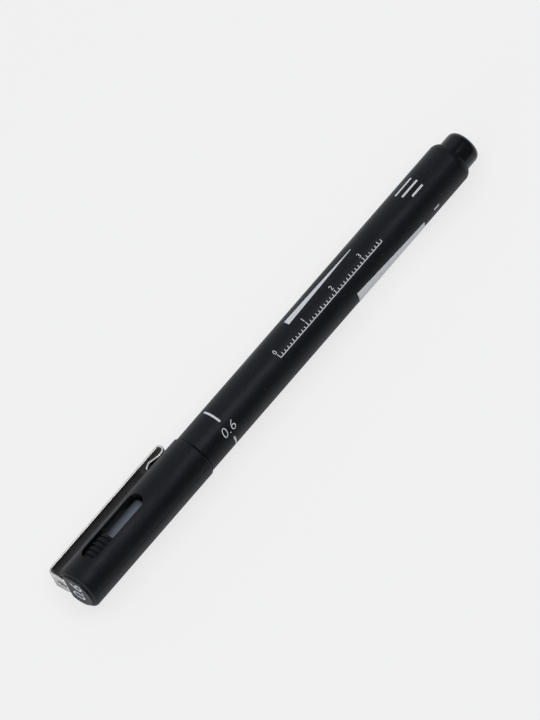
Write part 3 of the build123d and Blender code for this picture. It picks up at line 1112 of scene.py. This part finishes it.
@dataclass
class Marking:
    """White printing on the barrel and on the cap's end, and a plain paper label."""

    radius: float = 5.3
    film: float = 0.014
    sunk: float = 0.03
    line_columns: int = 6
    number: str = "0.6"
    number_x: float = -37.6
    number_angle: float = -35.0
    number_figures: Figures = Figures(2.25, 0.22, -0.012)
    ring_x: float = -37.7
    ring_widths: Flat = (0.52, 0.52)
    ring_spans: tuple[Flat, ...] = ((-7.5, 48.0), (-117.0, -62.0))
    ring_steps: int = 30
    face_x: float = -87.7
    face_angle: float = 107.5
    face_figures: Figures = Figures(3.5, 0.0, -0.012, 0.95)
    face_shift: Flat = (0.6, -0.6)
    rule_x: float = -17.2
    rule_angle: float = -17.0
    rule_length: int = 36
    rule_widths: Flat = (0.2, 0.2)
    rule_steps: int = 24
    rule_marks: Triple = (1.05, 0.9, 0.65)
    mark_steps: int = 4
    rule_figures: Figures = Figures(1.15)
    rule_gap: float = 0.8
    wedge_x: Flat = (-9.8, 13.1)
    wedge_angle: float = 33.0
    wedge_widths: Flat = (1.7, 0.2)
    wedge_steps: int = 40
    dash_widths: Flat = (0.5, 0.5)
    dash_spans: tuple[Triple, ...] = (
        (29.5, 35.1, 37.5), (30.0, 35.3, 18.2), (31.5, 35.1, -0.6), (33.2, 34.9, -71.0),
    )
    dash_steps: int = 12
    label_x: Flat = (6.2, 29.5)
    label_angles: Flat = (-59.0, -74.0)
    label_width: float = 9.6
    label_thickness: float = 0.05
    label_steps: tuple[int, int] = (24, 48)

    def arc(self, angle: float) -> float:
        """Give the length of arc from straight up to an angle."""
        return math.radians(angle) * self.radius

    def spot(self, x: float, arc: float, lift: float) -> Point:
        """Give the point on the barrel at a place on the axis and a length of arc."""
        return around(x, self.radius + lift, math.degrees(arc / self.radius))

    def ribbon(
        self, draft: MeshDraft, first: Flat, last: Flat, steps: int, widths: Flat
    ) -> None:
        """Print a straight line.

        Args:
            draft: The draft that gets the line.
            first: Where it starts, a place on the axis and a length of arc.
            last: Where it ends.
            steps: Pieces along the line.
            widths: Its width at its start and at its end.
        """
        along = (Vector(last) - Vector(first)).normalized()
        shares = spread(-0.5, 0.5, self.line_columns)
        grid: list[list[Flat]] = []
        places = zip(spread(first[0], last[0], steps), spread(first[1], last[1], steps))
        for (x, arc), width in zip(places, spread(*widths, steps)):
            sides = [width * share for share in shares]
            grid.append([(x - along.y * side, arc + along.x * side) for side in sides])
        draft.slab(*(
            [[self.spot(*place, lift) for place in row] for row in grid]
            for lift in (self.film, -self.sunk)
        ))

    def bent(self, x: float, arc: float) -> Callable[[Vector], Point]:
        """Give what bends flat figures round the barrel, with their middle at a place."""
        return lambda at: self.spot(x + at.x, arc + at.y, at.z - self.sunk)

    def stamp(
        self, draft: MeshDraft, look: Figures, words: str, placed: Callable[[Vector], Point]
    ) -> None:
        """Print figures.

        Args:
            draft: The draft that gets the figures.
            look: How they are drawn.
            words: The figures.
            placed: Gives where a point of the flat figures goes.
        """
        mesh = look.drawn(words, self.film + self.sunk)
        first = len(draft.points)
        draft.row(placed(point.co) for point in mesh.vertices)
        draft.faces += [tuple(first + number for number in face.vertices) for face in mesh.polygons]
        bpy.data.meshes.remove(mesh)

    def width_number(self) -> Piece:
        """Print the line width and the two dashes of the ring that it stands in."""
        draft = MeshDraft()
        place = self.bent(self.number_x, self.arc(self.number_angle))
        self.stamp(draft, self.number_figures, self.number, place)
        for span in self.ring_spans:
            ends = [(self.ring_x, self.arc(angle)) for angle in span]
            self.ribbon(draft, *ends, self.ring_steps, self.ring_widths)
        return fit(draft, "width_number", WHITE_INK, Body.BARREL)

    def face_number(self) -> Piece:
        """Print the line width on the disc, with the clip at its top."""
        up, right = outward(self.face_angle), outward(self.face_angle - 90.0)

        def placed(at: Vector) -> Point:
            """Give where a point of the flat figures goes on the disc."""
            place = right * (at.x + self.face_shift[0]) + up * (at.y + self.face_shift[1])
            return (self.face_x + self.sunk - at.z, place.y, place.z)

        draft = MeshDraft()
        self.stamp(draft, self.face_figures, self.number, placed)
        return fit(draft, "face_number", WHITE_INK, Body.CAP)

    def rule(self) -> Piece:
        """Print a short millimetre rule with its centimetres numbered."""
        base = self.arc(self.rule_angle)
        tall, middle, short = self.rule_marks
        first, last = (self.rule_x, base), (self.rule_x + self.rule_length, base)
        draft = MeshDraft()
        self.ribbon(draft, first, last, self.rule_steps, self.rule_widths)
        for mark in range(self.rule_length + 1):
            x = self.rule_x + mark
            top = base + (tall if mark % 10 == 0 else middle if mark % 5 == 0 else short)
            self.ribbon(draft, (x, base), (x, top), self.mark_steps, self.rule_widths)
            if mark % 10 == 0:
                place = self.bent(x, top + self.rule_gap)
                self.stamp(draft, self.rule_figures, str(mark // 10), place)
        return fit(draft, "millimetre_rule", WHITE_INK, Body.BARREL)

    def wedge(self) -> Piece:
        """Print a line that thins out from bold to fine."""
        draft = MeshDraft()
        ends = [(x, self.arc(self.wedge_angle)) for x in self.wedge_x]
        self.ribbon(draft, *ends, self.wedge_steps, self.wedge_widths)
        return fit(draft, "line_wedge", WHITE_INK, Body.BARREL)

    def dashes(self) -> Piece:
        """Print short dashes near the tail, three close together and one lower down."""
        draft = MeshDraft()
        for *span, angle in self.dash_spans:
            ends = [(x, self.arc(angle)) for x in span]
            self.ribbon(draft, *ends, self.dash_steps, self.dash_widths)
        return fit(draft, "tail_dashes", WHITE_INK, Body.BARREL)

    def label(self) -> Piece:
        """Lay the blank paper label on the side, a little askew."""
        sweep = math.degrees(self.label_width / self.radius)
        rows, columns = self.label_steps
        grid: list[tuple[float, list[float]]] = []
        for share in spread(0.0, 1.0, rows):
            edge = between(*self.label_angles, share)
            grid.append((between(*self.label_x, share), spread(edge, edge - sweep, columns)))
        draft = MeshDraft()
        draft.slab(*(
            [[around(x, self.radius + lift, angle) for angle in angles] for x, angles in grid]
            for lift in (self.label_thickness, -self.sunk)
        ))
        return fit(draft, "paper_label", PAPER, Body.BARREL)

    def build(self) -> list[Piece]:
        """Build the printed marks and the label."""
        marks = [self.width_number(), self.face_number(), self.rule(), self.wedge()]
        return [*marks, self.dashes(), self.label()]


@dataclass(frozen=True)
class Lamp:
    """A soft lamp that faces the pen, by its place, its width and height, and its watts."""

    name: str
    place: Point
    size: Flat
    power: float

    def hang(self) -> None:
        """Hang the lamp."""
        data = bpy.data.lights.new(self.name, "AREA")
        data.shape = "RECTANGLE"
        data.size, data.size_y = self.size[0] * MM, self.size[1] * MM
        data.energy = self.power
        made = bpy.data.objects.new(self.name, data)
        made.location = Vector(self.place) * MM
        made.rotation_euler = Vector(self.place).to_track_quat("Z", "Y").to_euler()
        bpy.context.scene.collection.objects.link(made)


@dataclass
class Studio:
    """The floor, the soft light and the camera."""

    floor_z: float = -5.65
    floor_half: float = 6000.0
    floor_colour: Colour = (0.8, 0.8, 0.8)
    pale: float = 0.925
    shade_share: float = 0.15
    # Painted shadow in the floor's glow round the pen: how far it reaches, its samples, how steeply it
    # falls, the least glow in it and its share for camera rays.
    painted_shadow_reach: float = 6.0
    painted_shadow_samples: int = 8
    painted_shadow_power: float = 1.8
    painted_shadow_rest: float = 0.016
    painted_shadow_share: float = 0.06
    bright_side: Point = (-0.5, 0.8, -0.33)
    bright_span: Flat = (-0.27, 0.06)
    room_levels: Flat = (0.21, 0.72)
    room_colour: Colour = (0.935, 0.96, 1.06)
    lamps: tuple[Lamp, ...] = (
        Lamp("overhead", (58.0, -35.0, 420.0), (130.0, 260.0), 0.42),
        Lamp("end_fill", (-760.0, -90.0, 240.0), (420.0, 300.0), 1.35),
    )
    azimuth: float = -51.15
    elevation: float = 67.86
    aim_x: float = -23.546
    aim_right: float = 2.746
    aim_up: float = 5.057
    lens: float = 800.0
    sensor: float = 36.0
    clip_end: float = 100.0
    picture_height: float = 720.0
    scale: float = 4.486

    def floor(self) -> None:
        """Lay a pale floor that keeps the pen's shadow, and dims its glow round the pen with a painted
        shadow, deepest where metal reflects it.
        """
        half = self.floor_half
        corners = ((-half, -half), (half, -half), (half, half), (-half, half))
        draft = MeshDraft()
        draft.faces.append(tuple(draft.row((x, y, self.floor_z) for x, y in corners)))
        piece = draft.piece("floor")
        material = bpy.data.materials.new("pale_floor")
        nodes = NodeTree(material)
        grey = self.pale * self.shade_share
        bounce = nodes.node("BsdfDiffuse", {"Color": (*self.floor_colour, 1.0)})
        shade = nodes.node("BsdfDiffuse", {"Color": (grey, grey, grey, 1.0)})
        rays = nodes.node("LightPath").outputs
        # Painted shadow: ambient occlusion dims the floor's glow near the pen, a little for the camera
        # and fully for glossy rays.
        reach = {"Distance": self.painted_shadow_reach * MM}
        cover = nodes.node("AmbientOcclusion", reach, samples=self.painted_shadow_samples).outputs["AO"]
        painted_shadow = nodes.combine("SUBTRACT", 1.0, nodes.combine("POWER", cover, self.painted_shadow_power))
        depth = nodes.remap(rays[Ray.GLOSSY.value], UNIT, (self.painted_shadow_share, 1.0))
        levels = (self.pale * (1 - self.shade_share), self.painted_shadow_rest)
        level = nodes.remap(nodes.combine("MULTIPLY", painted_shadow, depth), UNIT, levels)
        glow = nodes.node("Emission", {"Color": (1.0, 1.0, 1.0, 1.0), "Strength": level})
        seen = nodes.node("AddShader", {0: shade.outputs["BSDF"], 1: glow.outputs["Emission"]})
        share = rays[Ray.CAMERA.value]
        for ray in (Ray.GLOSSY, Ray.TRANSMISSION):
            share = nodes.combine("MAXIMUM", share, rays[ray.value])
        mixed = {"Fac": share, 1: bounce.outputs["BSDF"], 2: seen.outputs["Shader"]}
        nodes.node("OutputMaterial", {"Surface": nodes.node("MixShader", mixed).outputs["Shader"]})
        piece.data.materials.append(material)

    def room(self) -> None:
        """Fill the room with soft light that is brighter behind the pen than in front."""
        world = bpy.data.worlds.new("room")
        bpy.context.scene.world = world
        nodes = NodeTree(world)
        sides = {0: nodes.node("TexCoord").outputs["Generated"], 1: self.bright_side}
        facing = nodes.node("VectorMath", sides, operation="DOT_PRODUCT").outputs["Value"]
        level = nodes.remap(facing, self.bright_span, self.room_levels, True)
        back = nodes.node("Background", {"Color": (*self.room_colour, 1.0), "Strength": level})
        nodes.node("OutputWorld", {"Surface": back.outputs["Background"]})

    def camera(self) -> None:
        """Set the camera at the photograph's angle."""
        turn, lift = math.radians(self.azimuth), math.radians(self.elevation)
        level = math.cos(lift)
        back = Vector((math.sin(turn) * level, -math.cos(turn) * level, math.sin(lift)))
        right = Vector((math.cos(turn), math.sin(turn), 0.0))
        up = back.cross(right)
        aim = Vector((self.aim_x, 0.0, 0.0)) + right * self.aim_right + up * self.aim_up
        distance = self.picture_height / self.sensor * self.lens / self.scale
        data = bpy.data.cameras.new("camera")
        data.lens = self.lens
        data.sensor_width = self.sensor
        data.clip_end = self.clip_end
        made = bpy.data.objects.new("camera", data)
        made.location = (aim + back * distance) * MM
        made.rotation_euler = back.to_track_quat("Z", "Y").to_euler()
        bpy.context.scene.collection.objects.link(made)
        bpy.context.scene.camera = made

    def build(self) -> None:
        """Set up the whole studio."""
        bpy.context.scene.view_settings.view_transform = "Standard"
        self.floor()
        self.room()
        for lamp in self.lamps:
            lamp.hang()
        self.camera()


def main() -> None:
    """Build the pen's sub-assemblies and the studio round them."""
    logging.basicConfig(level=logging.INFO)
    Studio().build()
    for assembly in (Barrel(), WritingEnd(), Cap(), Clip(), Marking()):
        for piece in assembly.build():
            log.info("built %s with %d points", piece.name, len(piece.data.vertices))


if __name__ == "__main__":
    main()
